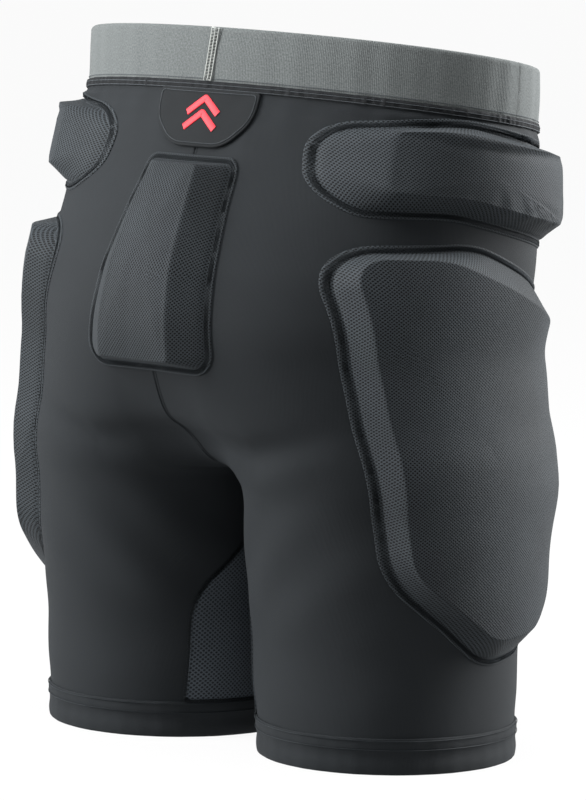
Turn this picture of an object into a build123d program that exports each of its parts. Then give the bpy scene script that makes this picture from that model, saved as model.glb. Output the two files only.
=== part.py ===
"""Padded impact shorts for skiing and snowboarding, adult size M, in millimetres.

Frame: +Z up, +Y towards the wearer's back, +X towards the wearer's left. The shorts stand on their
two hems at Z = 0, and the centre plane of the garment is X = 0. The pelvis part is the fixed body;
each leg turns about the wearer's hip joint axis, which runs along X.
Every side piece is made for the wearer's left side and mirrored for the right.
"""
import os
from math import atan, cos, radians, sin

from build123d import *

os.makedirs("parts", exist_ok=True)

# ---------------------------------------------------------------- driving dimensions
# Worn form, one row per level of the wearer's left half, as the outside of the jersey, measured
# from the wearer's axis: level, tube centre X, half width, tube centre Y, depth to the back,
# depth to the front.
FORM = [
    (0.0, 83.0, 75.0, 12.0, 80.0, 76.0),
    (60.0, 82.0, 78.0, 14.0, 82.0, 79.0),
    (115.0, 81.5, 80.5, 14.0, 90.0, 83.0),
    (140.0, 81.8, 80.8, 13.0, 95.0, 86.0),
    (160.0, 82.0, 81.0, 12.0, 99.0, 89.0),
    (180.0, 72.0, 90.0, 13.0, 105.0, 93.0),
    (205.0, 45.0, 113.0, 14.0, 114.0, 98.0),
    (225.0, 29.0, 127.5, 13.5, 121.0, 99.5),
    (245.0, 16.0, 139.0, 13.0, 127.0, 100.5),
    (265.0, 9.5, 148.5, 10.0, 131.0, 102.0),
    (285.0, 5.0, 155.0, 6.0, 132.0, 102.5),
    (305.0, 2.0, 158.0, 3.0, 127.5, 101.0),
    (325.0, 0.0, 159.0, 1.0, 120.0, 99.0),
    (345.0, 0.0, 158.5, 0.0, 109.5, 98.0),
    (365.0, 0.0, 157.0, 0.0, 101.0, 97.0),
    (400.0, 0.0, 155.5, -2.0, 92.0, 95.0),
    (436.0, 0.0, 158.0, -3.0, 91.0, 94.0),
]
BODY_Y = -29.1            # the wearer's axis stands this far to the front of the frame's origin
HEIGHT = 430.0            # waist edge at the centre back
PIVOT_Y = 90.0            # the waist edge slopes down to the front from here

JERSEY = 2.0              # knitted jersey with its brushed inside
BAND_HEIGHT = 33.0        # elastic waistband
BAND_THICK = 2.6
BAND_SLOPE = 0.165
JOIN_WIDTH = 6.0          # pale overlock stitch across the band's join
HEM_HEIGHT = 22.0         # folded hem of each leg
HEM_FOLD = 0.8            # how far the folded layer stands out of the leg
STITCH_LOW = 14.5         # twin-needle seam of the hem, from the lower row to the upper row
STITCH_HIGH = 21.0
SIDE_SEAM_Y = 8.0         # front and back panels meet here
LEG_GAP = 0.6             # open slot between the leg panels and the stretch zone
GUSSET_GAP = 0.3

# Slanted limits of the stretch zone over each hip: height at the centre plane and rise per mm of X
PELVIS_LIMIT = (250.0, 0.55)
LEG_LIMIT = (25.0, 0.90)

# Pads: flange sewn flat on the jersey, foam core, cover drawn over the foam
FLANGE_GAP = 0.5
FLANGE = 1.3
FOAM = 14.5
COVER = 1.2
FOAM_INSET = 9.0          # from the edge of the flange to the foot of the foam

# Outlines: corner, corner, rounding radius
# thigh pad, seen from the side: (Y, Z)
THIGH_PAD = [(113, 309, 26), (34, 310, 60), (-70, 258, 34), (-62, 150, 80), (-38, 66, 36),
             (26, 61, 36), (84, 112, 60), (97, 185, 150)]
# hip pad, seen square to the pad: (towards the back, Z)
HIP_PAD_TURN = 10.0       # the pad faces this many degrees to the back of straight sideways
HIP_PAD = [(71, 378, 14), (10, 383, 90), (-86, 360, 22), (-92, 296, 22), (20, 324, 90), (86, 327, 14)]
# tail pad, seen from behind: (X, Z)
TAIL_PAD = [(-34, 355, 9), (-47, 290, 90), (-47, 231, 14), (47, 231, 14), (47, 290, 90), (34, 355, 9)]
# yoke patch under the waistband at the back: (X, Z)
BACK_PATCH = [(-38, 397, 2), (-38, 377, 13), (-21, 360, 13), (21, 360, 13), (38, 377, 13), (38, 397, 2)]
# inner-leg insert, seen from the side: (Y, Z)
GUSSET = [(12, 156, 12), (-46, 88, 40), (-44, 23, 2), (68, 23, 2), (70, 88, 40)]

PATCH_THICK = 1.0
EMBLEM_THICK = 0.5
EMBLEM_WIDTH = 24.0       # plain mark of two peaks
EMBLEM_RISE = 9.0
EMBLEM_STROKE = 5.0
EMBLEM_Z = (372.5, 381.5)

LABEL_X = (22.0, 50.0)    # blank care label hanging inside the back waist
LABEL_Z = (352.0, 392.0)
SEAM_WIDTH = 5.0          # covered seam along the centre back and the centre front
SEAM_THICK = 0.4
SEAM_FOOT = 182.0         # the centre seams end here, at the crotch


# ---------------------------------------------------------------- shared shapes
def form(grow, past_ends=0.0):
    """The left tube of the worn form, grown outwards and, if asked, run past its two ends."""
    below = [(FORM[0][0] - past_ends, *FORM[0][1:])] if past_ends else []
    above = [(FORM[-1][0] + past_ends, *FORM[-1][1:])] if past_ends else []
    with BuildPart() as tube:
        for z, cx, width, cy, back, front in below + FORM + above:
            with BuildSketch(Plane(origin=(cx, cy + BODY_Y, z))):
                with BuildLine():
                    EllipticalCenterArc((0, 0), width + grow, back + grow, 0, arc_size=180)
                    EllipticalCenterArc((0, 0), width + grow, front + grow, 180, arc_size=180)
                make_face()
        loft(ruled=True)
    return tube.part


def layer(outer, inner):
    """The cloth between two grown forms on the left side, open at the waist and at the hem."""
    with BuildPart() as cloth:
        add(form(outer))
        add(form(inner, past_ends=6), mode=Mode.SUBTRACT)
        split(bisect_by=Plane.YZ, keep=Keep.TOP)
    return cloth.part


def prism(plane, corners, inset=0.0):
    """A long prism on a rounded outline, drawn inwards by the inset."""
    with BuildPart() as solid:
        with BuildSketch(plane):
            with BuildLine():
                Polyline(*[(u, v) for u, v, _ in corners], close=True)
            make_face()
            for u, v, radius in corners:
                fillet(vertices().sort_by_distance((u, v))[0], radius)
            if inset > 0:
                offset(amount=-inset, mode=Mode.REPLACE)
        extrude(amount=260)
    return solid.part


def pad_layer(outline, outer, inner):
    """The part of an outline's prism between two grown forms, on the left side."""
    with BuildPart() as piece:
        add(outline)
        split(bisect_by=Plane.YZ, keep=Keep.TOP)
        add(form(outer), mode=Mode.INTERSECT)
        add(form(inner, past_ends=6), mode=Mode.SUBTRACT)
    return piece.part


def both_halves(left):
    """A piece on the centre plane, joined from its left half and the mirror image of it."""
    with BuildPart() as piece:
        add(left)
        mirror(about=Plane.YZ)
    return piece.part


def band_plane(height):
    """Plane parallel to the waist edge, through a height at the centre back."""
    tilt = atan(BAND_SLOPE)
    return Plane(origin=(0, PIVOT_Y + BODY_Y, height), x_dir=(1, 0, 0),
                 z_dir=(0, -sin(tilt), cos(tilt)))


def slant_plane(limit, lower=0.0):
    """Plane across the left hip: its height at the centre plane and its rise per millimetre of X."""
    tilt = atan(limit[1])
    return Plane(origin=(0, 0, limit[0] - lower), x_dir=(0, 1, 0), z_dir=(-sin(tilt), 0, cos(tilt)))


def write(part, name):
    part.label = name
    export_step(part, f"parts/{name}.step")


def write_pair(part, name):
    """Write a left piece and its mirror image for the right."""
    with BuildPart() as twin:
        mirror(part, about=Plane.YZ)
    write(part, f"left_{name}")
    write(twin.part, f"right_{name}")


SIDE_VIEW = Plane(origin=(0, BODY_Y, 0), x_dir=(0, 1, 0), z_dir=(1, 0, 0))
OUTER_SIDE = SIDE_VIEW.offset(85)
BACK_VIEW = Plane(origin=(0, 0, 0), x_dir=(-1, 0, 0), z_dir=(0, 1, 0))
FRONT_VIEW = Plane(origin=(0, 0, 0), x_dir=(1, 0, 0), z_dir=(0, -1, 0))
HIP_VIEW = Plane(origin=(0, BODY_Y, 0), x_dir=(-sin(radians(HIP_PAD_TURN)), cos(radians(HIP_PAD_TURN)), 0),
                 z_dir=(cos(radians(HIP_PAD_TURN)), sin(radians(HIP_PAD_TURN)), 0))
BAND_LOW = HEIGHT - BAND_HEIGHT
side_seam = Plane(origin=(0, SIDE_SEAM_Y + BODY_Y, 0), x_dir=(1, 0, 0), z_dir=(0, 1, 0))

# ---------------------------------------------------------------- waistband and its seams
with BuildPart() as waistband:
    add(layer(0.3, 0.3 - BAND_THICK))
    split(bisect_by=band_plane(BAND_LOW), keep=Keep.TOP)
    split(bisect_by=band_plane(HEIGHT), keep=Keep.BOTTOM)
write(both_halves(waistband.part), "waistband")

with BuildPart() as waist_binding:
    add(layer(1.1, 0.3))
    split(bisect_by=band_plane(BAND_LOW - 4.0), keep=Keep.TOP)
    split(bisect_by=band_plane(BAND_LOW + 0.5), keep=Keep.BOTTOM)
write(both_halves(waist_binding.part), "waist_seam_binding")

# overlocked join where the band's two ends meet at the centre back
with BuildPart() as join_slab:
    with BuildSketch(BACK_VIEW):
        with Locations((0, 420)):
            Rectangle(JOIN_WIDTH, 60)
    extrude(amount=260)
with BuildPart() as join_stitch:
    add(both_halves(pad_layer(join_slab.part, 0.9, 0.4)))
    split(bisect_by=band_plane(BAND_LOW + 0.7), keep=Keep.TOP)
    split(bisect_by=band_plane(HEIGHT), keep=Keep.BOTTOM)
write(join_stitch.part, "waistband_join_stitch")

# ---------------------------------------------------------------- jersey of the pelvis and the legs
jersey = layer(0.0, -JERSEY)
with BuildPart() as pelvis_half:
    add(jersey)
    split(bisect_by=band_plane(BAND_LOW), keep=Keep.BOTTOM)
    split(bisect_by=slant_plane(PELVIS_LIMIT), keep=Keep.TOP)
with BuildPart() as back_panel:
    add(pelvis_half.part)
    split(bisect_by=side_seam, keep=Keep.TOP)
write_pair(back_panel.part, "back_panel")
with BuildPart() as front_panel:
    add(pelvis_half.part)
    split(bisect_by=side_seam, keep=Keep.BOTTOM)
write_pair(front_panel.part, "front_panel")

# Inner-leg insert, only on the inner half of the leg tube
gusset_prism = prism(SIDE_VIEW, GUSSET)
with BuildPart() as gusset_window:
    add(gusset_prism)
    split(bisect_by=Plane.YZ.offset(60), keep=Keep.BOTTOM)
with BuildPart() as inner_leg_gusset:
    add(jersey)
    add(gusset_window.part, mode=Mode.INTERSECT)
write_pair(inner_leg_gusset.part, "inner_leg_gusset")

with BuildPart() as gusset_hole:
    add(prism(SIDE_VIEW, GUSSET, inset=-GUSSET_GAP))
    split(bisect_by=Plane.YZ.offset(60), keep=Keep.BOTTOM)

# Fabric over the hip and round the crotch that stretches when the leg turns
with BuildPart() as stretch_zone:
    add(jersey)
    split(bisect_by=slant_plane(PELVIS_LIMIT), keep=Keep.BOTTOM)
    split(bisect_by=slant_plane(LEG_LIMIT), keep=Keep.TOP)
    split(bisect_by=Plane.XY.offset(HEM_HEIGHT + GUSSET_GAP), keep=Keep.TOP)
    add(gusset_hole.part, mode=Mode.SUBTRACT)
write_pair(stretch_zone.part, "hip_stretch_zone")

# Rigidly moving part of the leg below the stretch zone
with BuildPart() as leg_half:
    add(jersey)
    split(bisect_by=slant_plane(LEG_LIMIT, lower=LEG_GAP), keep=Keep.BOTTOM)
    split(bisect_by=Plane.XY.offset(HEM_HEIGHT), keep=Keep.TOP)
    add(gusset_hole.part, mode=Mode.SUBTRACT)
with BuildPart() as leg_back_panel:
    add(leg_half.part)
    split(bisect_by=side_seam, keep=Keep.TOP)
write_pair(leg_back_panel.part, "leg_back_panel")
with BuildPart() as leg_front_panel:
    add(leg_half.part)
    split(bisect_by=side_seam, keep=Keep.BOTTOM)
write_pair(leg_front_panel.part, "leg_front_panel")

with BuildPart() as hem_band:
    add(layer(HEM_FOLD, -JERSEY))
    split(bisect_by=Plane.XY.offset(HEM_HEIGHT), keep=Keep.BOTTOM)
write_pair(hem_band.part, "hem_band")

with BuildPart() as hem_stitching:
    add(layer(HEM_FOLD + 0.5, HEM_FOLD + 0.1))
    split(bisect_by=Plane.XY.offset(STITCH_LOW), keep=Keep.TOP)
    split(bisect_by=Plane.XY.offset(STITCH_HIGH), keep=Keep.BOTTOM)
write_pair(hem_stitching.part, "hem_stitching")

# ---------------------------------------------------------------- side pads
flange_top = FLANGE_GAP + FLANGE
for pad_name, view, corners in (("hip_pad", HIP_VIEW, HIP_PAD), ("thigh_pad", OUTER_SIDE, THIGH_PAD)):
    border = pad_layer(prism(view, corners), flange_top, FLANGE_GAP)
    foam = pad_layer(prism(view, corners, inset=FOAM_INSET), FOAM, flange_top + 0.3)
    with BuildPart() as cover:
        add(pad_layer(prism(view, corners, inset=FOAM_INSET - COVER), FOAM + COVER, flange_top + 0.2))
        add(foam, mode=Mode.SUBTRACT)
    write_pair(border, f"{pad_name}_border")
    write_pair(foam, f"{pad_name}_foam")
    write_pair(cover.part, f"{pad_name}_cover")

# ---------------------------------------------------------------- tail pad
tail_foam = both_halves(pad_layer(prism(BACK_VIEW, TAIL_PAD, inset=FOAM_INSET), FOAM, flange_top + 0.3))
with BuildPart() as tail_cover:
    add(both_halves(pad_layer(prism(BACK_VIEW, TAIL_PAD, inset=FOAM_INSET - COVER),
                              FOAM + COVER, flange_top + 0.2)))
    add(tail_foam, mode=Mode.SUBTRACT)
write(both_halves(pad_layer(prism(BACK_VIEW, TAIL_PAD), flange_top, FLANGE_GAP)), "tail_pad_border")
write(tail_foam, "tail_pad_foam")
write(tail_cover.part, "tail_pad_cover")

# ---------------------------------------------------------------- patch, emblem, label, centre seams
with BuildPart() as back_patch:
    add(both_halves(pad_layer(prism(BACK_VIEW, BACK_PATCH), PATCH_THICK + SEAM_THICK, SEAM_THICK + 0.1)))
    split(bisect_by=band_plane(BAND_LOW - 4.3), keep=Keep.BOTTOM)
write(back_patch.part, "back_patch")

with BuildPart() as peaks:
    with BuildSketch(BACK_VIEW):
        for foot in EMBLEM_Z:
            with BuildLine():
                Polyline((-EMBLEM_WIDTH / 2, foot), (0, foot + EMBLEM_RISE), (EMBLEM_WIDTH / 2, foot),
                         (EMBLEM_WIDTH / 2, foot - EMBLEM_STROKE),
                         (0, foot + EMBLEM_RISE - EMBLEM_STROKE),
                         (-EMBLEM_WIDTH / 2, foot - EMBLEM_STROKE), close=True)
            make_face()
        with Locations((0, EMBLEM_Z[0] + EMBLEM_RISE)):
            Rectangle(2.4, EMBLEM_RISE)
    extrude(amount=260)
write(both_halves(pad_layer(peaks.part, PATCH_THICK + SEAM_THICK + EMBLEM_THICK,
                            PATCH_THICK + SEAM_THICK + 0.1)), "patch_emblem")

with BuildPart() as label_slab:
    with BuildSketch(BACK_VIEW):
        with Locations((-sum(LABEL_X) / 2, sum(LABEL_Z) / 2)):
            Rectangle(LABEL_X[1] - LABEL_X[0], LABEL_Z[1] - LABEL_Z[0])
    extrude(amount=260)
write(pad_layer(label_slab.part, -BAND_THICK, -BAND_THICK - 0.5), "care_label")

for seam_name, view in (("centre_back_seam", BACK_VIEW), ("centre_front_seam", FRONT_VIEW)):
    with BuildPart() as seam_slab:
        with BuildSketch(view):
            with Locations((0, (SEAM_FOOT + BAND_LOW) / 2)):
                Rectangle(SEAM_WIDTH, BAND_LOW - SEAM_FOOT)
        extrude(amount=260)
    with BuildPart() as centre_seam:
        add(both_halves(pad_layer(seam_slab.part, SEAM_THICK, 0.1)))
        split(bisect_by=band_plane(BAND_LOW - 4.3), keep=Keep.BOTTOM)
    write(centre_seam.part, seam_name)
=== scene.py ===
# %% [markdown]
# # Padded impact shorts: the detailed look
# Close-fitting shorts for snow sports in their worn shape. The CAD frame fixes where everything is:
# the jersey, the waistband and every pad lie on the same worn form. Each step below makes one kind
# of piece, prints what it made, and hangs it on an empty named after its CAD body or bakes its placement
# into its mesh.

# %% Frame
import bpy
import math
import numpy as np
from mathutils import Matrix, Vector


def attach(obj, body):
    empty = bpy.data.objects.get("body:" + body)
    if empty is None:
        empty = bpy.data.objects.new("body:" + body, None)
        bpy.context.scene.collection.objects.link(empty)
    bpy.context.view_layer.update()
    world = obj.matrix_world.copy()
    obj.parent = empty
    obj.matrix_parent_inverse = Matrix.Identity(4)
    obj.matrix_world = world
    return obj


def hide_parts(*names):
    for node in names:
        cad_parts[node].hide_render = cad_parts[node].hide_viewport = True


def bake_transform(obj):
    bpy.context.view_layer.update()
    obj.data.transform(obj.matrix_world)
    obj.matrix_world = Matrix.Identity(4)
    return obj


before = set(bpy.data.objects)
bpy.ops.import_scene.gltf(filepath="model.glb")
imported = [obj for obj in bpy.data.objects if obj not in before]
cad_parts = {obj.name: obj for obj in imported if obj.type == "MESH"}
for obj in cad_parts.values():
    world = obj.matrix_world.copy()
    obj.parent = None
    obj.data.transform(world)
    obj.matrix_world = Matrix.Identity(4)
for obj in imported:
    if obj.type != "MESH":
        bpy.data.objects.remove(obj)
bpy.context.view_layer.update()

MM = 0.001

# %% [markdown]
# ## The worn form
# One row per level of the wearer's left half: level, tube centre X, half width, tube centre Y,
# depth to the back and depth to the front, in millimetres. Between the levels the values follow a
# monotone cubic, so the cloth is smooth and never swings past a level.

# %% Worn form
FORM = np.array([
    (-4, 83.0, 75.0, 12.0, 80.0, 76.0), (0, 83.0, 75.0, 12.0, 80.0, 76.0),
    (60, 82.0, 78.0, 14.0, 82.0, 79.0), (115, 81.5, 80.5, 14.0, 90.0, 83.0),
    (140, 81.8, 80.8, 13.0, 95.0, 86.0), (160, 82.0, 81.0, 12.0, 99.0, 89.0),
    (180, 72.0, 90.0, 13.0, 105.0, 93.0), (205, 45.0, 113.0, 14.0, 114.0, 98.0),
    (225, 29.0, 127.5, 13.5, 121.0, 99.5), (245, 16.0, 139.0, 13.0, 127.0, 100.5),
    (265, 9.5, 148.5, 10.0, 131.0, 102.0), (285, 5.0, 155.0, 6.0, 132.0, 102.5),
    (305, 2.0, 158.0, 3.0, 127.5, 101.0), (325, 0.0, 159.0, 1.0, 120.0, 99.0),
    (345, 0.0, 158.5, 0.0, 109.5, 98.0), (365, 0.0, 157.0, 0.0, 101.0, 97.0),
    (400, 0.0, 155.5, -2.0, 92.0, 95.0), (436, 0.0, 158.0, -3.0, 91.0, 94.0)]) * MM
BODY_Y = -29.1 * MM
HEIGHT, BAND_HEIGHT, HEM_HEIGHT = 0.430, 0.033, 0.022
BAND_SLOPE, PIVOT_Y = 0.165, 0.090
LEVELS = FORM[:, 0]


def monotone_slopes(x, y):
    """Slopes that keep a cubic between the points from overshooting."""
    h, d = np.diff(x), np.diff(y) / np.diff(x)
    m = np.zeros(len(x))
    for i in range(1, len(x) - 1):
        if d[i - 1] * d[i] > 0:
            w1, w2 = 2 * h[i] + h[i - 1], h[i] + 2 * h[i - 1]
            m[i] = (w1 + w2) / (w1 / d[i - 1] + w2 / d[i])
    m[0], m[-1] = d[0], d[-1]
    return m


SLOPES = np.stack([monotone_slopes(LEVELS, FORM[:, k]) for k in range(1, 6)], 1)


def level_at(z):
    """Tube centre X, half width, centre Y, back depth and front depth at any height."""
    z = np.clip(np.asarray(z, float), LEVELS[0], LEVELS[-1])
    i = np.clip(np.searchsorted(LEVELS, z) - 1, 0, len(LEVELS) - 2)
    h = LEVELS[i + 1] - LEVELS[i]
    t = ((z - LEVELS[i]) / h)[..., None]
    h = h[..., None]
    a, b = FORM[i][..., 1:], FORM[i + 1][..., 1:]
    value = (a * (1 + 2 * t) * (1 - t) ** 2 + b * t * t * (3 - 2 * t)
             + h * (SLOPES[i] * t * (1 - t) ** 2 - SLOPES[i + 1] * t * t * (1 - t)))
    return np.moveaxis(value, -1, 0)


def on_form(z, angle, grow=0.0):
    """Points of the left half at a height and an angle: 0 is outwards, 90 degrees the back."""
    cx, width, cy, back, front = level_at(z)
    depth = np.where(np.sin(angle) > 0, back, front)
    return np.stack([cx + (width + grow) * np.cos(angle),
                     cy + BODY_Y + (depth + grow) * np.sin(angle), z + 0 * angle], -1)


def seam_angle(z):
    """Angle where the left half reaches the centre plane, or the inseam below the crotch."""
    cx, width = level_at(z)[:2]
    return np.arccos(np.clip(-cx / width, -1, 1))


def smooth(x):
    x = np.clip(x, 0, 1)
    return x * x * (3 - 2 * x)


def bump(x, centre, spread):
    return np.exp(-((x - centre) / spread) ** 2)


print("worn form:", len(FORM), "levels, waist", round(2 * FORM[-1][2] * 1000), "mm wide")

# %% [markdown]
# ## How the body under the cloth shows
# The ellipse levels give the bulk. This field adds what a close jersey shows on top of it: the
# buttock's fullness, the fold under it, the hollow at the side of the hip, a few soft drag lines
# that fan out from the crotch and the small folds that gather under the waistband.

# %% Soft relief of the jersey
def relief(p):
    """Outward push of the jersey at points of the left half, in metres."""
    x, y, z = p[..., 0], p[..., 1] - BODY_Y, p[..., 2]
    behind = smooth(y / 0.06)
    push = 0.0030 * behind * bump(x, 0.062, 0.045) * bump(z, 0.248, 0.045)
    fold = 0.184 + 0.25 * np.maximum(x - 0.06, 0) + 0.12 * np.maximum(0.05 - x, 0)
    push -= 0.0042 * behind * bump(z, fold, 0.010) * smooth((0.125 - x) / 0.06)
    push += 0.0016 * behind * bump(z, fold - 0.020, 0.012) * smooth((0.12 - x) / 0.06)
    edge = HEIGHT - BAND_HEIGHT + BAND_SLOPE * (y - PIVOT_Y)
    under = edge - z
    free = smooth((under - 0.003) / 0.006)
    wave = np.sin(x * 310 + y * 240) + 0.6 * np.sin(x * 173 - y * 390 + 1.3)
    push += 0.0006 * wave * free * np.exp(-np.maximum(under, 0) / 0.012)
    side = smooth((x - 0.085) / 0.04)
    folds = (0.0028 * bump(under, 0.0090, 0.0030) - 0.0020 * bump(under, 0.0135, 0.0024)
             + 0.0022 * bump(under, 0.0178, 0.0028) - 0.0012 * bump(under, 0.0215, 0.0024))
    push += side * free * folds * (0.7 + 0.3 * np.sin(y * 60 + 1))
    drag = np.sin((z - 0.9 * x) * 120 + 2.0 * np.sin(y * 30))
    push += 0.0006 * drag * smooth((0.20 - z) / 0.08) * smooth((z - 0.06) / 0.05)
    push += 0.0005 * np.sin(z * 95 + 3 * y * 20) * smooth((0.13 - z) / 0.05) * smooth((z - 0.022) / 0.02)
    return push


def normals(grid):
    """Outward normals of a grid of points, rows by columns."""
    along = np.gradient(grid, axis=1)
    up = np.gradient(grid, axis=0)
    n = np.cross(up, along)
    return n / np.maximum(np.linalg.norm(n, axis=-1, keepdims=True), 1e-12)


def mesh_object(name, verts, faces, material, uvs=None, flat=False):
    """A mesh with optional UVs per vertex, in metres of cloth."""
    mesh = bpy.data.meshes.new(name)
    mesh.from_pydata([tuple(map(float, v)) for v in verts], [], faces)
    if uvs is not None:
        layer = mesh.uv_layers.new(name="cloth")
        loops = np.zeros(len(mesh.loops), int)
        mesh.loops.foreach_get("vertex_index", loops)
        layer.data.foreach_set("uv", np.asarray(uvs, float)[loops].ravel())
    mesh.polygons.foreach_set("use_smooth", [not flat] * len(mesh.polygons))
    mesh.materials.append(material)
    mesh.update()
    piece = bpy.data.objects.new(name, mesh)
    bpy.context.scene.collection.objects.link(piece)
    return piece


def grid_faces(rows, cols, wrap=False, start=0):
    """Quads of a grid; wrap joins the last column to the first."""
    last = cols if wrap else cols - 1
    return [(start + r * cols + c, start + (r + 1) * cols + c,
             start + (r + 1) * cols + (c + 1) % cols, start + r * cols + (c + 1) % cols)
            for r in range(rows - 1) for c in range(last)]


def mirrored(verts, side):
    out = np.array(verts, float)
    if side == "right":
        out[..., 0] *= -1
    return out


def turned(faces, side):
    return [tuple(reversed(f)) for f in faces] if side == "right" else faces


SIDES = ("left", "right")
FINE = 1
print("relief at the fullest point (mm):",
      round(float(relief(np.array([0.062, 0.13 + BODY_Y, 0.248]))) * 1000, 2))

# %% [markdown]
# ## Materials
# Colours are given as sRGB hex and converted once. One helper adds a node with its settings and
# links, so that each cloth reads as a short recipe: a knit or mesh pattern at its real pitch, yarn
# to yarn variation, a soft fibre sheen and a bump that follows the same pattern.

# %% Material helpers
def srgb(code):
    """Linear colour of a hex code."""
    values = [int(code[i:i + 2], 16) / 255 for i in (0, 2, 4)]
    return tuple(v / 12.92 if v <= 0.04045 else ((v + 0.055) / 1.055) ** 2.4 for v in values) + (1.0,)


class Recipe:
    """A material under construction."""

    def __init__(self, name):
        self.material = bpy.data.materials.new(name)
        self.material.use_nodes = True
        self.tree = self.material.node_tree
        self.surface = self.tree.nodes["Principled BSDF"]

    def add(self, kind, settings=None, **inputs):
        """Add a node: settings are its properties, inputs are values or sockets to link."""
        node = self.tree.nodes.new("ShaderNode" + kind)
        for key, value in (settings or {}).items():
            setattr(node, key, value)
        for key, value in inputs.items():
            self.put(node, key, value)
        return node

    def put(self, node, key, value):
        """Give an input by name, or by number as in_0."""
        socket = node.inputs[int(key[3:])] if key.startswith("in_") else node.inputs[key.replace("_", " ")]
        if isinstance(value, bpy.types.NodeSocket):
            self.tree.links.new(value, socket)
        else:
            socket.default_value = value

    def math(self, operation, a, b=0.0):
        return self.add("Math", {"operation": operation}, in_0=a, in_1=b).outputs[0]

    def mix(self, share, first, second):
        node = self.add("Mix", {"data_type": "RGBA"})
        for index, value in ((0, share), (6, first), (7, second)):
            self.put(node, f"in_{index}", value)
        return node.outputs[2]

    def finish(self, colour, roughness, height=None, depth=0.0002, sheen=0.4, tint="8A9096", **more):
        self.put(self.surface, "Base_Color", colour)
        self.put(self.surface, "Roughness", roughness)
        self.put(self.surface, "Sheen_Weight", sheen)
        self.put(self.surface, "Sheen_Roughness", 0.45)
        self.put(self.surface, "Sheen_Tint", srgb(tint))
        self.put(self.surface, "Specular_IOR_Level", 0.12)
        for key, value in more.items():
            self.put(self.surface, key, value)
        if height is not None:
            made = self.add("Bump", Strength=1.0, Distance=depth, Height=height)
            self.put(self.surface, "Normal", made.outputs["Normal"])
        return self.material


def cloth_axes(recipe, pitch_u, pitch_v):
    """The cloth's own coordinates, counted in stitches of the given pitch in millimetres."""
    uv = recipe.add("UVMap", {"uv_map": "cloth"}).outputs[0]
    parts = recipe.add("SeparateXYZ", in_0=uv)
    return (recipe.math("MULTIPLY", parts.outputs[0], 1 / (pitch_u * MM)),
            recipe.math("MULTIPLY", parts.outputs[1], 1 / (pitch_v * MM)))


def wave(recipe, value):
    """A wave from 0 to 1 that repeats once per unit."""
    turn = recipe.math("MULTIPLY", value, 2 * math.pi)
    return recipe.math("ADD", recipe.math("MULTIPLY", recipe.math("SINE", turn), 0.5), 0.5)


def blotches(recipe, scale, detail=3.0):
    """Slow unevenness over the object, from 0 to 1."""
    place = recipe.add("TexCoord").outputs["Object"]
    return recipe.add("TexNoise", Vector=place, Scale=scale, Detail=detail).outputs[0]


def knit(name, dark, light, pitch=(0.75, 0.6), depth=0.00012, sheen=0.05, rough=0.78):
    """Plain jersey: columns of small V stitches, slightly uneven from yarn to yarn."""
    r = Recipe(name)
    u, v = cloth_axes(r, *pitch)
    lean = r.math("MULTIPLY", r.math("ABSOLUTE", r.math("SUBTRACT", r.math("FRACT", u), 0.5)), 1.1)
    stitch = r.math("MULTIPLY", wave(r, u), wave(r, r.math("ADD", v, lean)))
    yarn = r.add("TexNoise", Vector=r.add("UVMap", {"uv_map": "cloth"}).outputs[0], Scale=2400.0,
                 Detail=1.0).outputs[0]
    uneven = r.add("MapRange", Value=blotches(r, 26.0)).outputs[0]
    share = r.math("ADD", r.math("MULTIPLY", stitch, 0.42),
                   r.math("ADD", r.math("MULTIPLY", yarn, 0.40), r.math("MULTIPLY", uneven, 0.18)))
    return r.finish(r.mix(share, srgb(dark), srgb(light)), rough, stitch, depth, sheen)


def spacer_mesh(name, dark, light, pitch=1.35, depth=0.00035, sheen=0.06):
    """Spacer mesh: offset rows of small round holes between raised knitted ribs."""
    r = Recipe(name)
    u, v = cloth_axes(r, pitch * 1.4142, pitch * 1.4142)
    a = wave(r, r.math("ADD", u, v))
    b = wave(r, r.math("SUBTRACT", u, v))
    holes = r.math("MULTIPLY", a, b)
    rim = r.add("MapRange", Value=holes)
    for index, value in ((1, 0.16), (2, 0.46), (3, 1.0), (4, 0.0)):
        r.put(rim, f"in_{index}", value)
    yarn = r.add("TexNoise", Vector=r.add("UVMap", {"uv_map": "cloth"}).outputs[0], Scale=1500.0,
                 Detail=2.0).outputs[0]
    share = r.math("MULTIPLY", rim.outputs[0],
                   r.math("ADD", r.math("MULTIPLY", yarn, 0.7),
                          r.math("MULTIPLY", blotches(r, 18.0), 0.6)))
    return r.finish(r.mix(share, srgb(dark), srgb(light)), 0.72, rim.outputs[0], depth, sheen)


def elastic(name, dark, light):
    """Woven elastic: fine upright cords under close crossing rows, in two greys of yarn."""
    r = Recipe(name)
    u, v = cloth_axes(r, 1.1, 0.8)
    cords, rows = wave(r, u), wave(r, r.math("ADD", v, r.math("MULTIPLY", r.math("FLOOR", u), 0.5)))
    height = r.math("ADD", r.math("MULTIPLY", cords, 0.55), r.math("MULTIPLY", rows, 0.45))
    yarn = r.add("TexNoise", Vector=r.add("UVMap", {"uv_map": "cloth"}).outputs[0], Scale=900.0,
                 Detail=3.0).outputs[0]
    speck = r.add("MapRange", Value=yarn)
    for index, value in ((1, 0.30), (2, 0.70)):
        r.put(speck, f"in_{index}", value)
    share = r.math("ADD", r.math("MULTIPLY", height, 0.55), r.math("MULTIPLY", speck.outputs[0], 0.45))
    return r.finish(r.mix(share, srgb(dark), srgb(light)), 0.8, height, 0.00018, 0.12, "D8DCDC")


def plain(name, code, rough=0.7, sheen=0.2, **more):
    """Thread, print and tape: one colour with slight unevenness."""
    r = Recipe(name)
    dark = tuple(c * 0.72 for c in srgb(code)[:3]) + (1.0,)
    return r.finish(r.mix(blotches(r, 900.0, 1.0), dark, srgb(code)), rough, blotches(r, 1400.0, 1.0),
                    0.00008, sheen, **more)


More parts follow.
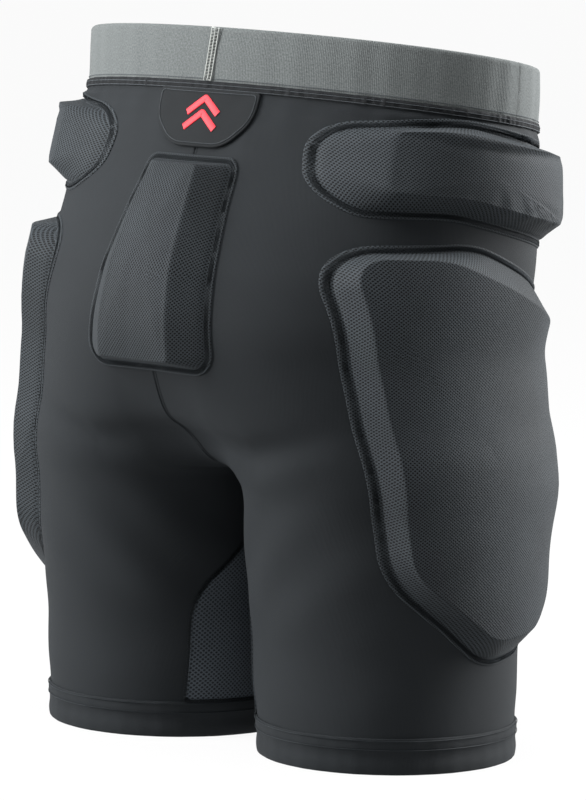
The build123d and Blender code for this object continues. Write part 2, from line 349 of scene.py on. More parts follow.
JERSEY = knit("brushed stretch jersey", "0D0F11", "202427")
PATCH = knit("woven patch cloth", "0C0E10", "1B1E20", pitch=(0.6, 0.6))
GUSSET = spacer_mesh("ribbed inner-leg knit", "181B1E", "464C52", pitch=1.9, depth=0.0003)
MESH = spacer_mesh("spacer mesh over foam", "030404", "33383C")
ELASTIC = elastic("woven elastic", "303333", "606464")
BINDING = knit("covered waist seam", "0B0D0F", "1A1C1E", pitch=(0.8, 0.8), depth=0.0002)
THREAD = plain("polyester sewing thread", "1C2023", 0.7, 0.1)
PALE_THREAD = plain("pale overlock thread", "9EA19E", 0.6, 0.1)
GREY_THREAD = plain("grey sewing thread", "3A3E41", 0.6, 0.3)
PRINT = plain("raised silicone print", "CC2C36", 0.45, 0.0)
LABEL = plain("satin label tape", "B4B3AE", 0.4, 0.1)
print("materials:", len(bpy.data.materials))

# %% [markdown]
# ## Jersey
# Each side is one cloth from the waist seam to the hem: rows follow the height, columns run from the
# centre back round the outside to the centre front, and below the crotch they close round the leg.
# A few rounds of smoothing let the cloth span the cleft on the centre plane.

# %% Jersey grid
JERSEY_THICK = 0.0016


def bend(piece):
    """Bake a soft piece's placement into its mesh."""
    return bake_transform(piece)


def waist_height(level, y):
    """Actual height of a nominal level: upper levels slope down to the front with the waist."""
    share = smooth((level - 0.20) / 0.19)
    return level + BAND_SLOPE * share * (y - BODY_Y - PIVOT_Y)


top_level = HEIGHT - BAND_HEIGHT + 0.004
levels = np.concatenate([np.linspace(0.003, 0.155, 64 // FINE), np.linspace(0.1575, 0.216, 56 // FINE),
                         np.linspace(0.2185, top_level, 84 // FINE)])
columns = np.linspace(1, -1, 220 // FINE)
LV, CO = np.meshgrid(levels, columns, indexing="ij")
first = on_form(LV, seam_angle(LV) * CO)
HT = waist_height(LV, first[..., 1])
ANGLE = seam_angle(HT) * CO
jersey_grid = on_form(HT, ANGLE)
near_centre = smooth((0.034 - jersey_grid[..., 0]) / 0.024) * smooth((LV - 0.166) / 0.004)
for _ in range(260 // FINE ** 2):
    y = jersey_grid[..., 1]
    inner = y.copy()
    inner[:, 1:-1] = (y[:, :-2] + y[:, 2:]) / 2
    inner[:, 0], inner[:, -1] = y[:, 1], y[:, -2]
    jersey_grid[..., 1] = y + 0.5 * near_centre * (inner - y)
facing = normals(jersey_grid)
above = (LV > 0.166)
facing[:, 0, 0] = np.where(above[:, 0], 0, facing[:, 0, 0])
facing[:, -1, 0] = np.where(above[:, -1], 0, facing[:, -1, 0])
jersey_grid = jersey_grid + facing * relief(jersey_grid)[..., None]
span = np.linalg.norm(np.diff(jersey_grid, axis=1), axis=-1)
length_u = np.concatenate([np.zeros((len(levels), 1)), np.cumsum(span, 1)], 1)
length_u = length_u - length_u[:, [len(columns) // 2]]
rows, cols = LV.shape
jersey_uv = np.stack([length_u, LV], -1).reshape(-1, 2)

for side in SIDES:
    inner = jersey_grid - facing * JERSEY_THICK
    verts = mirrored(np.concatenate([jersey_grid.reshape(-1, 3), inner.reshape(-1, 3)]), side)
    count = rows * cols
    faces = grid_faces(rows, cols)
    faces += [tuple(reversed(f)) for f in grid_faces(rows, cols, start=count)]
    for row in (0, rows - 1):
        for c in range(cols - 1):
            a, b = row * cols + c, row * cols + c + 1
            rim = (a, b, b + count, a + count)
            faces.append(rim if row == 0 else tuple(reversed(rim)))
    for col in (0, cols - 1):
        for r in range(rows - 1):
            a, b = r * cols + col, (r + 1) * cols + col
            rim = (a, a + count, b + count, b)
            faces.append(rim if col == 0 else tuple(reversed(rim)))
    jersey = mesh_object(f"{side}_jersey", verts, turned(faces, side), JERSEY,
                         np.concatenate([jersey_uv, jersey_uv]))
    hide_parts(f"{side}_back_panel", f"{side}_front_panel", f"{side}_hip_stretch_zone",
                f"{side}_leg_back_panel", f"{side}_leg_front_panel")
    bend(jersey)

# %% [markdown]
# ## Threads
# Stitches are real geometry: short dashes for a straight seam and a zigzag for an overlocked edge,
# each drawn as a thin tube along a path that already lies on the cloth.

# %% Thread tools
def tube(paths, radius, sides=5):
    """Vertices and faces of round threads along open paths."""
    verts, faces = [], []
    ring = np.linspace(0, 2 * math.pi, sides, endpoint=False)
    for path in paths:
        path = np.asarray(path, float)
        if len(path) < 2:
            continue
        run = np.gradient(path, axis=0)
        run /= np.maximum(np.linalg.norm(run, axis=1, keepdims=True), 1e-12)
        helper = np.where(np.abs(run[:, 2:3]) < 0.9, np.array([[0, 0, 1.0]]), np.array([[1.0, 0, 0]]))
        across = np.cross(run, helper)
        across /= np.linalg.norm(across, axis=1, keepdims=True)
        over = np.cross(run, across)
        base = len(verts)
        for p, a, o in zip(path, across, over):
            verts.extend(p + radius * (math.cos(t) * a + math.sin(t) * o) for t in ring)
        for k in range(len(path) - 1):
            for j in range(sides):
                a, b = base + k * sides + j, base + k * sides + (j + 1) % sides
                faces.append((a, a + sides, b + sides, b))
        faces.append(tuple(base + j for j in range(sides)))
        faces.append(tuple(base + (len(path) - 1) * sides + j for j in reversed(range(sides))))
    return verts, faces


def thread_piece(name, paths, radius, material):
    verts, faces = tube(paths, radius)
    return mesh_object(name, verts, faces, material)


def resampled(path, step, closed=False):
    """Points at even steps along a path."""
    path = np.asarray(path, float)
    if closed:
        path = np.concatenate([path, path[:1]])
    far = np.concatenate([[0], np.cumsum(np.linalg.norm(np.diff(path, axis=0), axis=1))])
    count = max(2, int(round(far[-1] / step)) + 1)
    at = np.linspace(0, far[-1], count)
    return np.stack([np.interp(at, far, path[:, k]) for k in range(path.shape[1])], 1)


def dashes(path, outward, stitch=0.0022, gap=0.0010, lift=0.00015, closed=False):
    """Short stitches that dip into the cloth at both ends."""
    both = resampled(np.concatenate([path, outward], 1), (stitch + gap) / 4, closed)
    found = []
    for k in range(0, len(both) - 4, 4):
        p, n = both[k:k + 4, :3], both[k:k + 4, 3:]
        lifts = np.array([-0.0002, lift, lift, -0.0002])[:, None]
        found.append(p + n * lifts)
    return found


def zigzag(inside, outside, outward, pitch, lift=0.0002, closed=True):
    """One thread that swings between two parallel paths."""
    both = resampled(np.concatenate([inside, outside, outward], 1), pitch / 2, closed)
    swing = (np.arange(len(both)) % 2)[:, None]
    return [both[:, :3] * swing + both[:, 3:6] * (1 - swing) + both[:, 6:] * lift]


# %% [markdown]
# ## Shapes laid on the form
# A pad is a rounded outline seen from its own side. Rings run inwards from the outline: a thin sewn
# flange, the foot of the foam, the bevel, and then the face, which crowns slightly. Each ring point
# is dropped onto the worn form and lifted along its normal.

# %% Outlines on the form
def rounded(corners, insets, per_arc=14, per_side=16):
    """Sample a polygon with rounded corners, each edge moved inwards by its own inset."""
    pts = np.array([(u, v) for u, v, _ in corners], float) * MM
    count = len(pts)
    area = sum(pts[i][0] * pts[(i + 1) % count][1] - pts[(i + 1) % count][0] * pts[i][1]
               for i in range(count))
    turn = 1 if area > 0 else -1
    lines = []
    for i in range(count):
        run = pts[(i + 1) % count] - pts[i]
        run /= np.linalg.norm(run)
        inward = turn * np.array([-run[1], run[0]])
        lines.append((pts[i] + inward * insets[i] * MM, run))
    moved = []
    for i in range(count):
        (p, d), (q, e) = lines[i - 1], lines[i]
        moved.append(p + d * np.cross(q - p, e) / np.cross(d, e))
    out = []
    for i in range(count):
        before, here, after = moved[i - 1], moved[i], moved[(i + 1) % count]
        a = (before - here) / np.linalg.norm(before - here)
        b = (after - here) / np.linalg.norm(after - here)
        half = math.acos(np.clip(a @ b, -1, 1)) / 2
        radius = max(corners[i][2] - (insets[i - 1] + insets[i]) / 2, 2.5) * MM
        reach = min(radius / math.tan(half), 0.48 * np.linalg.norm(before - here),
                    0.48 * np.linalg.norm(after - here))
        start, end = here + a * reach, here + b * reach
        t = np.linspace(0, 1, per_arc)[:, None]
        weight = math.sin(half)
        arc = (((1 - t) ** 2 * start + 2 * weight * t * (1 - t) * here + t ** 2 * end)
               / ((1 - t) ** 2 + 2 * weight * t * (1 - t) + t ** 2))
        out.append(arc)
    ring = []
    for i in range(count):
        ring.append(out[i])
        t = np.linspace(0, 1, per_side + 2)[1:-1, None]
        ring.append(out[i][-1] * (1 - t) + out[(i + 1) % count][0] * t)
    return np.concatenate(ring)


HIP_TURN = math.radians(10)
CLEFT = 0.012


def drop(points, view):
    """Angle on the form for outline points seen from a side, the back, the hip or inside the leg."""
    u, z = points[..., 0], points[..., 1]
    cx, width, cy, back, front = level_at(z)
    if view == "back":
        return np.arccos(np.clip((-u - cx) / width, -1, 1))
    tilt = HIP_TURN if view == "hip" else 0.0
    angle = np.arcsin(np.clip((u / math.cos(tilt) - cy) / np.where(u > cy, back, front), -0.98, 0.98))
    for _ in range(12 if view == "hip" else 0):
        depth = np.where(np.sin(angle) > 0, back, front)
        gap = (-(cx + width * np.cos(angle)) * math.sin(tilt)
               + (cy + depth * np.sin(angle)) * math.cos(tilt) - u)
        rate = width * np.sin(angle) * math.sin(tilt) + depth * np.cos(angle) * math.cos(tilt)
        angle = np.clip(angle - gap / rate, -1.45, 1.45)
    return math.pi - angle if view == "inside" else angle


def lay(points, view, height):
    """Outline points laid on the jersey's surface and lifted by a height; returns points, normals.
    On the back, shapes span the cleft on the centre plane instead of dipping into it."""
    points = np.asarray(points, float)
    z, mirror = points[..., 1], np.ones(points.shape[:-1])
    if view == "back":
        mirror, real = np.where(-points[..., 0] < 0, -1.0, 1.0), np.abs(points[..., 0])
        fade = np.exp(-real / CLEFT)
        points = np.stack([-(real + CLEFT * fade), z], -1)
    angle, step = drop(points, view), 0.002
    here = on_form(z, angle)
    above = on_form(z + step, drop(points + [0, step], view))
    up = above - on_form(z - step, drop(points - [0, step], view))
    along = on_form(z, angle - step) - on_form(z, angle + step)
    outward = np.cross(up, along)
    push = relief(here)
    if view == "back":
        push = push + 0.0005
        here[..., 0], outward[..., 0] = real, outward[..., 0] * (1 - fade)
    outward /= np.linalg.norm(outward, axis=-1, keepdims=True)
    placed = here + outward * (push + height)[..., None]
    for each in (placed, outward):
        each[..., 0] *= mirror
    return placed, outward


def pad_shape(corners, view, bevel, foam=14.6, crown=1.4, flange=5.0, pucker=0.0):
    """Vertices, faces and UVs of a bevelled pad, from under its flange to the middle of its face.
    A pucker, in millimetres, ruffles the cover along the front half of the lower edge."""
    edge = [0.0] * len(corners)
    profile = [(0.0, -1.2), (0.0, 0.5), (0.10, 0.75), (0.5, 0.85), (0.92, 0.9), (1.0, 1.4)]
    rings, heights = [], []
    for share, lift in profile:
        rings.append(rounded(corners, [share * flange for _ in edge]))
        heights.append(np.full(len(rings[-1]), lift))
    slope = [(0.05, 0.05), (0.14, 0.15), (0.30, 0.31), (0.45, 0.46), (0.60, 0.615), (0.75, 0.77),
             (0.87, 0.895), (0.95, 0.975), (1.0, 1.0), (1.03, 1.003), (1.10, 1.006)]
    for share, lift in slope:
        rings.append(rounded(corners, [flange + share * b for b in bevel]))
        heights.append(np.full(len(rings[-1]), 1.9 + (foam - 1.9) * lift))
    middle = rings[-1].mean(0)
    for share in (0.9, 0.78, 0.64, 0.5, 0.36, 0.22, 0.1):
        rings.append(middle + (rings[len(profile) + len(slope) - 1] - middle) * share)
        heights.append(np.full(len(rings[-1]), foam + 0.1 + crown * (1 - share ** 2)))
    outline = np.array(rings)
    lifts = np.array(heights)
    u, z = outline[..., 0], outline[..., 1]
    ruffled = smooth((middle[1] - z - 0.006) / 0.012) * smooth((0.030 - u) / 0.05)
    ruffled = ruffled * bump(lifts, foam - 1.0, 6.0)
    lifts = lifts + pucker * ruffled * (np.sin(u / 0.0021) + 0.6 * np.sin(u / 0.0013 + 1))
    placed, outward = lay(outline, view, lifts * MM)
    centre, _ = lay(middle[None, :], view, np.array([(foam + 0.1 + crown) * MM]))
    rings_count, around = outline.shape[:2]
    verts = np.concatenate([placed.reshape(-1, 3), centre])
    faces = [(r * around + c, r * around + (c + 1) % around, (r + 1) * around + (c + 1) % around,
              (r + 1) * around + c) for r in range(rings_count - 1) for c in range(around)]
    last = (rings_count - 1) * around
    faces += [(last + c, last + (c + 1) % around, len(verts) - 1) for c in range(around)]
    uvs = np.concatenate([outline.reshape(-1, 2), middle[None, :]])
    return verts, faces, uvs


def outward_faces(verts, faces, centre):
    """Turn all faces the same way round, pointing away from a centre inside the body."""
    verts = np.asarray(verts)
    total = 0.0
    for f in faces[:: max(1, len(faces) // 400)]:
        a, b, c = verts[f[0]], verts[f[1]], verts[f[2]]
        total += float(np.cross(b - a, c - a) @ (a - centre))
    return faces if total > 0 else [tuple(reversed(f)) for f in faces]


THIGH = [(113, 309, 26), (34, 311, 60), (-74, 265, 44), (-60, 150, 110), (-40, 66, 50),
         (26, 61, 36), (84, 112, 60), (97, 185, 150)]
THIGH_BEVEL = [5, 13, 18, 18, 14, 9, 8, 10]
HIP = [(72, 379, 25), (10, 383, 90), (-86, 360, 30), (-92, 296, 26), (20, 324, 90), (87, 326, 25)]
HIP_BEVEL = [4, 5, 22, 8, 7, 27]
TAIL = [(-34, 355, 9), (-43, 290, 90), (-48, 231, 14), (48, 231, 14), (43, 290, 90), (34, 355, 9)]
TAIL_BEVEL = [15, 17, 6, 17, 15, 5]

# %% Pads
BODY_CENTRE = np.array([0.05, BODY_Y, 0.22])


def edge_threads(corners, view, inner=3.6, outer=1.2, pitch=0.0036):
    """Overlock zigzag and one row of stitches for the flange of a laid shape."""
    count = len(corners)
    inside, outward = lay(rounded(corners, [inner] * count), view, np.full(count * 30, 0.00092))
    outside, _ = lay(rounded(corners, [outer] * count), view, np.full(count * 30, 0.00086))
    return zigzag(inside, outside, outward, pitch) + dashes(inside, outward, closed=True)


def make_pad(name, corners, view, bevel, side, body, nodes):
    verts, faces, uvs = pad_shape(corners, view, bevel, pucker=0.55 if view == "hip" else 0.08)
    faces = outward_faces(verts, faces, BODY_CENTRE if side != "centre" else np.array([0, BODY_Y, 0.25]))
    pad = mesh_object(name, mirrored(verts, side), turned(faces, side), MESH, uvs)
    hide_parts(*nodes)
    threads = edge_threads(corners, view)
    seam = thread_piece(f"{name}_overlock", [mirrored(t, side) for t in threads], 0.00017, THREAD)
    for piece in (pad, seam):
        if body.endswith("leg"):
            bend(piece)
        else:
            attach(piece, body)


for side in SIDES:
    make_pad(f"{side}_thigh_pad", THIGH, "side", THIGH_BEVEL, side, f"{side}_leg",
             [f"{side}_thigh_pad_{part}" for part in ("border", "foam", "cover")])
    make_pad(f"{side}_hip_pad", HIP, "hip", HIP_BEVEL, side, "pelvis",
             [f"{side}_hip_pad_{part}" for part in ("border", "foam", "cover")])
make_pad("tail_pad", TAIL, "back", TAIL_BEVEL, "centre", "pelvis",
         [f"tail_pad_{part}" for part in ("border", "foam", "cover")])
print("pads: five, each", 14.6, "mm of foam under mesh")

# %% [markdown]
# ## Waistband
# A woven elastic ring, a little proud of the jersey, with rounded edges. Its covered seam below
# is slightly gathered, and a pale overlocked join closes the ring at the centre back.

# %% Waistband, covered seam and join
def ring_cloth(name, profile, material, wobble=None, count=420, leg=None):
    """A closed ring from a profile of (nominal level, growth) round the waist or round one leg."""
    angle = np.linspace(math.pi, -math.pi, count // FINE, endpoint=False)
    prof = np.array(profile, float)
    level, turn = np.meshgrid(prof[:, 0], angle, indexing="ij")
    grow = np.repeat(prof[:, 1:2], len(angle), 1)
    base = on_form(level, turn)
    high = level if leg else level + BAND_SLOPE * (base[..., 1] - BODY_Y - PIVOT_Y)
    base = on_form(high, turn)
    if wobble is not None:
        grow = grow + wobble(level, turn) * (np.asarray(grow) > -0.001)
    cx, width, cy, back, front = level_at(high)
    depth = np.where(np.sin(turn) > 0, back, front)
    outward = np.stack([np.cos(turn) * depth, np.sin(turn) * width, 0 * turn], -1)
    outward /= np.linalg.norm(outward, axis=-1, keepdims=True)
    points = base + outward * grow[..., None]
    step = np.linalg.norm(np.diff(np.concatenate([base, base[:, :1]], 1), axis=1), axis=-1)
    u = np.cumsum(step, 1)
    along = np.concatenate([[0], np.cumsum(np.linalg.norm(np.diff(prof, axis=0), axis=1))])
    uvs = np.stack([u, np.repeat(along[:, None], len(angle), 1)], -1).reshape(-1, 2)
    faces = grid_faces(*level.shape, wrap=True)
    if profile[0] == profile[-1]:
        first_row = (level.shape[0] - 1) * level.shape[1]
        points, uvs = points[:-1], uvs[:first_row]
        faces = [tuple(i % first_row for i in face) for face in faces]
    side = leg or "left"
    piece = mesh_object(name, mirrored(points.reshape(-1, 3), side),
                        turned(outward_faces(points.reshape(-1, 3), faces,
                                             points.reshape(-1, 3).mean(0)), side), material, uvs)
    return piece, points, outward


low, top = HEIGHT - BAND_HEIGHT, HEIGHT
band_profile = [(low + 0.002, -0.0022), (low + 0.0002, -0.0016), (low - 0.0004, -0.0006), (low, 0.0002)]
band_profile += [(low + 0.001 + 0.0305 * t, 0.0004 + 0.0007 * math.sin(math.pi * t))
                 for t in np.linspace(0, 1, 22)]
band_profile += [(top - 0.0006, -0.0001), (top, -0.0009), (top - 0.0005, -0.0017)]
band_profile += [(top - 0.002 - 0.029 * t, -0.0021) for t in np.linspace(0, 1, 6)] + band_profile[:1]
waistband, _, _ = ring_cloth("waistband_elastic", band_profile, ELASTIC,
                             lambda z, t: 0.00012 * np.sin(t * 46) + 0.00010 * np.sin(t * 29 + 1))
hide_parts("waistband")
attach(waistband, "pelvis")


def gathers(z, t):
    return 0.00030 * np.sin(t * 150) * (0.6 + 0.4 * np.sin(t * 17)) + 0.00022 * np.sin(t * 61 + 2)


seam_profile = [(low + 0.0008, -0.0011), (low + 0.0008, 0.0002), (low + 0.0007, 0.0009),
                (low - 0.0004, 0.0013), (low - 0.0018, 0.0014), (low - 0.0034, 0.0012),
                (low - 0.0043, 0.0007), (low - 0.0046, 0.0001), (low - 0.0046, -0.0013)]
binding, _, _ = ring_cloth("waist_binding", seam_profile, BINDING, gathers, 900)
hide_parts("waist_seam_binding")
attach(binding, "pelvis")

around = np.linspace(math.pi, -math.pi, 700, endpoint=False)


def waist_path(level, grow):
    """A path round the waist at a nominal level, with its outward directions."""
    base = on_form(np.full_like(around, level), around)
    high = level + BAND_SLOPE * (base[:, 1] - BODY_Y - PIVOT_Y)
    far, near = on_form(high, around, grow), on_form(high, around)
    outward = far - near
    return far, outward / np.linalg.norm(outward, axis=1, keepdims=True)


waist_rows = []
for level, grow in ((low - 0.0012, 0.00155), (low - 0.0037, 0.0013), (low + 0.0022, 0.00075)):
    path, outward = waist_path(level, grow)
    waist_rows.append(dashes(path, outward, 0.0020, 0.0012, 0.0001, closed=True))
waist_stitches = thread_piece("waist_seam_stitches", waist_rows[0] + waist_rows[1], 0.00022, GREY_THREAD)
band_stitches = thread_piece("waistband_edge_stitches", waist_rows[2], 0.00018, GREY_THREAD)
for piece in (waist_stitches, band_stitches):
    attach(piece, "pelvis")


def band_point(x, level, grow):
    """A point on the outside of the band near the centre back."""
    cx, width, cy, back, _ = level_at(np.array(level))
    y = cy + BODY_Y + (back + grow) * math.sqrt(1 - (x / width) ** 2)
    return np.array([x, float(y), level + BAND_SLOPE * (float(y) - BODY_Y - PIVOT_Y)])


join_paths, turns = [], 34
for offset in (-0.0026, 0.0026, 0.0):
    join_paths.append([band_point(0.0016 - 0.0042 * t + offset, low + 0.001 + 0.0315 * t, 0.0016)
                       for t in np.linspace(0, 1, 40)])
for shift in (0.0, 0.5):
    join_paths.append([band_point(0.0016 - 0.0042 * t + (0.0025 if k % 2 else -0.0025),
                                  low + 0.001 + 0.0315 * t, 0.0018 if k % 2 else 0.0014)
                       for k, t in enumerate(np.clip(np.linspace(0, 1, turns) + shift / turns, 0, 1))])
join = thread_piece("waistband_join", join_paths, 0.00036, PALE_THREAD)
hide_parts("waistband_join_stitch")
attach(join, "pelvis")
print("waistband:", round(2 * FORM[-1][2] * 1000), "x", round(BAND_HEIGHT * 1000), "mm")

# %% [markdown]
# ## Hems
# Each hem is a folded layer with a soft rolled lower edge and two parallel rows of stitches.

# %% Hems
for side in SIDES:
    profile = [(HEM_HEIGHT - 0.001, -0.0004), (HEM_HEIGHT, 0.0004), (HEM_HEIGHT - 0.0006, 0.0010)]
    profile += [(HEM_HEIGHT - 0.0016 - 0.0185 * t, 0.0011 + 0.0003 * math.sin(3 * math.pi * t))
                for t in np.linspace(0, 1, 12)]
    profile += [(0.0006, 0.0008), (0.0001, 0.0001), (0.0001, -0.0010), (0.0008, -0.0019),
                (0.006, -0.0021), (HEM_HEIGHT, -0.0021), (HEM_HEIGHT - 0.001, -0.0004)]
    hem, _, _ = ring_cloth(f"{side}_hem", profile, JERSEY,
                           lambda z, t: 0.00006 * np.sin(t * 41) + 0.0001 * np.sin(t * 17 + 1),
                           360, leg=side)
    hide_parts(f"{side}_hem_band")
    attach(hem, f"{side}_leg")
    stitches = []
    for level in (0.0150, 0.0205):
        ring = on_form(np.full_like(around, level), around, 0.0016)
        outward = ring - on_form(np.full_like(around, level), around)
        outward /= np.linalg.norm(outward, axis=1, keepdims=True)
        stitches += dashes(mirrored(ring, side), mirrored(outward, side), 0.0021, 0.0010, closed=True)
    rows_piece = thread_piece(f"{side}_hem_stitches", stitches, 0.00024, THREAD)
    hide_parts(f"{side}_hem_stitching")
    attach(rows_piece, f"{side}_leg")
print("hems: two, with twin rows of stitches")

# %% [markdown]
# ## Patch, mark, inner-leg inserts, label and centre seams

# %% Flat pieces laid on the form
def flat_shape(corners, view, lift, edge=0.6):
    """A thin laid piece with a soft edge: vertices, faces, UVs."""
    count = len(corners)
    rings, heights = [], []
    for inset, high in ((0.0, 0.05), (0.0, lift * 0.6), (edge * 0.5, lift * 0.92), (edge, lift)):
        rings.append(rounded(corners, [inset] * count))
        heights.append(np.full(len(rings[-1]), high))
    middle = rings[-1].mean(0)
    for share in np.linspace(0.94, 0.04, 18):
        rings.append(middle + (rings[3] - middle) * share)
        heights.append(np.full(len(rings[-1]), lift))
    outline = np.array(rings)
    placed, _ = lay(outline, view, np.array(heights) * MM)
    centre, _ = lay(middle[None, :], view, np.array([lift * MM]))
    n, m = outline.shape[:2]
    verts = np.concatenate([placed.reshape(-1, 3), centre])
    faces = [(r * m + c, r * m + (c + 1) % m, (r + 1) * m + (c + 1) % m, (r + 1) * m + c)
             for r in range(n - 1) for c in range(m)]
    faces += [((n - 1) * m + c, (n - 1) * m + (c + 1) % m, len(verts) - 1) for c in range(m)]
    return verts, faces, np.concatenate([outline.reshape(-1, 2), middle[None, :]])


BACK_PATCH = [(-38, 393, 3), (-37, 375, 24), (-20, 359.5, 24), (20, 359.5, 24), (37, 375, 24), (38, 393, 3)]
verts, faces, uvs = flat_shape(BACK_PATCH, "back", 1.3)
patch_faces = outward_faces(verts, faces, np.array([0, BODY_Y, 0.37]))
patch = mesh_object("yoke_patch", verts, patch_faces, PATCH, uvs)
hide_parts("back_patch")
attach(patch, "pelvis")
line, outward = lay(rounded(BACK_PATCH, [2.0] * 6), "back", np.full(180, 0.00145))
patch_seam = thread_piece("yoke_patch_stitches", dashes(line, outward, 0.0022, 0.0012, closed=True),
                          0.00026, GREY_THREAD)
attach(patch_seam, "pelvis")


def stroke(points, width, lift):
    """A raised flat stroke along a line of (across, height) points on the back, in millimetres."""
    pts = resampled(np.array(points, float) * MM, 0.0006)
    run = np.gradient(pts, axis=0)
    run /= np.linalg.norm(run, axis=1, keepdims=True)
    across = np.stack([-run[:, 1], run[:, 0]], 1)
    rows_of = []
    half = [(-1.0, 0.0), (-1.0, 0.75), (-0.8, 1.0)]
    for share, high in half + [(0.0, 1.0)] + [(-a, b) for a, b in reversed(half)]:
        rows_of.append(lay(pts + across * share * width * MM / 2, "back",
                           np.full(len(pts), (1.25 + lift * high) * MM))[0])
    grid = np.array(rows_of)
    return grid.reshape(-1, 3), grid_faces(*grid.shape[:2])


mark_verts, mark_faces = [], []
for foot in (370.0, 378.6):
    v, f = stroke([(-11.6, foot), (0.0, foot + 9.0), (11.6, foot)], 4.0, 0.55)
    mark_faces += [tuple(i + len(mark_verts) for i in face) for face in
                   outward_faces(v, f, np.array([0, BODY_Y, 0.37]))]
    mark_verts += list(v)
mark = mesh_object("yoke_patch_mark", mark_verts, mark_faces, PRINT)
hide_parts("patch_emblem")
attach(mark, "pelvis")

GUSSET_OUTLINE = [(12, 156, 12), (-46, 88, 40), (-44, 22.5, 2), (68, 22.5, 2), (70, 88, 40)]
for side in SIDES:
    verts, faces, uvs = flat_shape(GUSSET_OUTLINE, "inside", 0.55)
    middle = np.array([0.083, BODY_Y, 0.09])
    insert = mesh_object(f"{side}_inner_leg_insert", mirrored(verts, side),
                         turned(outward_faces(verts, faces, middle), side), GUSSET, uvs)
    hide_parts(f"{side}_inner_leg_gusset")
    bend(insert)
    line, outward = lay(rounded(GUSSET_OUTLINE, [0.6] * 5), "inside", np.full(150, 0.0008))
    other, _ = lay(rounded(GUSSET_OUTLINE, [-1.6] * 5), "inside", np.full(150, 0.0004))
    seam = thread_piece(f"{side}_inner_leg_flatlock",
                        [mirrored(t, side) for t in zigzag(line, other, outward, 0.0018)],
                        0.00016, THREAD)
    bend(seam)

label_rows, label_verts = 12, []
for k in range(label_rows):
    z = 0.394 - 0.040 * k / (label_rows - 1)
    for depth in (0.0024, 0.0028):
        for x in np.linspace(0.022, 0.050, 8):
            cx, width, cy, back, _ = level_at(np.array(z))
            y = float(cy) + BODY_Y + (float(back) - depth) * math.sqrt(1 - (x / float(width)) ** 2)
            label_verts.append((x, y - 0.0004 * math.sin(k * 0.5), z))
label_faces = []
for k in range(label_rows - 1):
    for layer_start in (0, 8):
        for c in range(7):
            a = k * 16 + layer_start + c
            label_faces.append((a, a + 1, a + 17, a + 16))
label = mesh_object("care_label_tape", label_verts, label_faces, LABEL)
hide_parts("care_label")
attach(label, "pelvis")


RIBBON_PROFILE = ((-0.0016, -0.0002), (-0.0012, 0.0003), (0, -0.0001), (0.0012, 0.0003), (0.0016, -0.0002))


def centre_seam(name, column, low_z, high_z, gaps=()):
    """A covered seam down the centre plane: a low ribbon with one row of stitches."""
    line = jersey_grid[:, column]
    out = facing[:, column]
    keep = [i for i in range(len(line)) if low_z < line[i, 2] < high_z
            and not any(a < line[i, 2] < b for a, b in gaps)]
    paths, verts_of, faces_of = [], [], []
    groups = np.split(np.array(keep), np.where(np.diff(keep) > 1)[0] + 1)
    for group in groups:
        both = resampled(np.concatenate([line[group], out[group]], 1), 0.0012)
        p, n = both[:, :3], both[:, 3:]
        n = n / np.linalg.norm(n, axis=1, keepdims=True)
        paths += dashes(p + np.array([[0.0009, 0, 0]]), n, 0.0024, 0.0010, 0.0005)
        base = len(verts_of)
        for across, lift in RIBBON_PROFILE:
            verts_of += list(p + n * lift + np.array([[across, 0, 0]]))
        faces_of += grid_faces(5, len(p), start=base)
    ribbon_faces = outward_faces(verts_of, faces_of, np.array([0, BODY_Y, 0.27]))
    ribbon = mesh_object(name, verts_of, ribbon_faces, JERSEY)
    stitches = thread_piece(f"{name}_stitches", paths, 0.00014, THREAD)
    for piece in (ribbon, stitches):
        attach(piece, "pelvis")
    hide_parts(name)


centre_seam("centre_back_seam", 0, 0.172, 0.362, gaps=((0.233, 0.353),))
centre_seam("centre_front_seam", cols - 1, 0.172, 0.357)
print("flat pieces: patch, mark, two inserts, label, two centre seams")

# %% [markdown]
# ## Studio
# A wide pale floor that glows a little, a tall soft box at each side and one above, so the dark
# cloth keeps its shape and its rims lift without the floor throwing much light back at it.

# %% Studio and camera
def studio_colour(name, code, under, rough=0.9):
    """A surface lit mostly from within, like a light table, so it throws little extra light back."""
    r = Recipe(name)
    r.put(r.surface, "Base_Color", srgb(under))
    r.put(r.surface, "Roughness", rough)
    r.put(r.surface, "Specular_IOR_Level", 0.0)
    r.put(r.surface, "Emission_Color", srgb(code))
    r.put(r.surface, "Emission_Strength", 1.0)
    return r.material


bpy.ops.mesh.primitive_plane_add(size=80, location=(0, 0, 0))
floor = bpy.context.object
floor.name = "studio_floor"
floor.data.materials.append(studio_colour("pale floor", "F8F8F8", "303030"))

TARGET = Vector((0.0, BODY_Y, 0.2022))


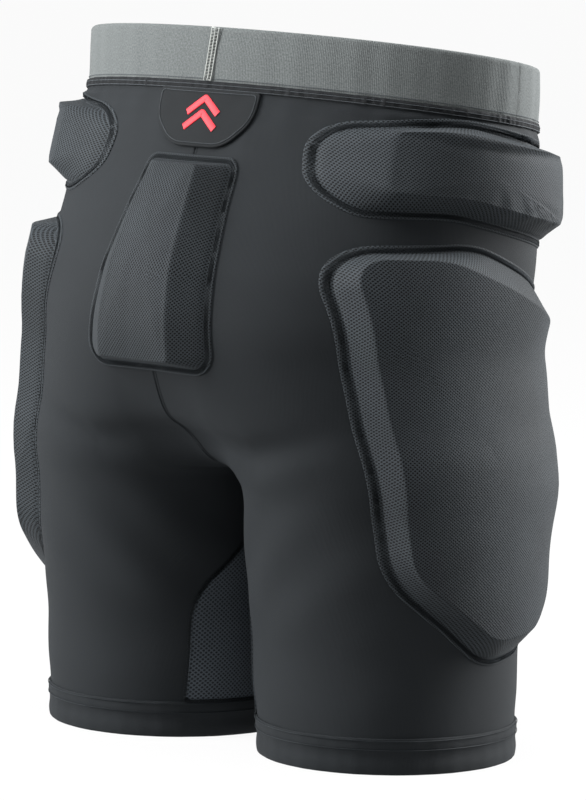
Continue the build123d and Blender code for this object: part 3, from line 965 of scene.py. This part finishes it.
def area_light(name, azimuth, elevation, distance, width, height, power, colour="FFFFFF"):
    """A soft box aimed at the middle of the garment; azimuth 180 stands behind the wearer."""
    light = bpy.data.lights.new(name, "AREA")
    light.shape, light.size, light.size_y = "RECTANGLE", width, height
    light.energy, light.color = power, srgb(colour)[:3]
    a, e = math.radians(azimuth), math.radians(elevation)
    towards = Vector((math.sin(a) * math.cos(e), -math.cos(a) * math.cos(e), math.sin(e)))
    lamp = bpy.data.objects.new(name, light)
    lamp.location = TARGET + towards * distance
    lamp.rotation_euler = (-towards).to_track_quat("-Z", "Y").to_euler()
    bpy.context.scene.collection.objects.link(lamp)
    return lamp


area_light("soft box left", 134, 18, 1.7, 0.6, 1.5, 88)
area_light("soft box right", 326, 22, 1.7, 0.6, 1.2, 100)
area_light("soft box above", 196, 74, 1.9, 1.0, 1.0, 40)
world = bpy.data.worlds.new("studio air")
bpy.context.scene.world = world
world.use_nodes = True
world.node_tree.nodes["Background"].inputs[0].default_value = srgb("FAFAFA")
world.node_tree.nodes["Background"].inputs[1].default_value = 0.7
bpy.context.scene.view_settings.view_transform = "Standard"

CAMERA_TURN, CAMERA_RISE, CAMERA_ROLL = math.radians(39.28), math.radians(6.93), math.radians(1.37)
away = Vector((-math.sin(CAMERA_TURN) * math.cos(CAMERA_RISE),
               math.cos(CAMERA_TURN) * math.cos(CAMERA_RISE), math.sin(CAMERA_RISE)))
right = (-away).cross(Vector((0, 0, 1))).normalized()
upward = right.cross(-away)
tilted_right = right * math.cos(CAMERA_ROLL) + upward * math.sin(CAMERA_ROLL)
tilted_up = upward * math.cos(CAMERA_ROLL) - right * math.sin(CAMERA_ROLL)
lens = bpy.data.cameras.new("camera")
camera = bpy.data.objects.new("camera", lens)
camera.matrix_world = Matrix([[tilted_right[i], tilted_up[i], away[i], (TARGET + away * 3.1505)[i]]
                              for i in range(3)] + [[0, 0, 0, 1]])
lens.sensor_width, lens.lens = 36, 234.5
lens.shift_x = -0.0095
bpy.context.scene.collection.objects.link(camera)
bpy.context.scene.camera = camera
print("camera:", [round(v, 3) for v in camera.location])
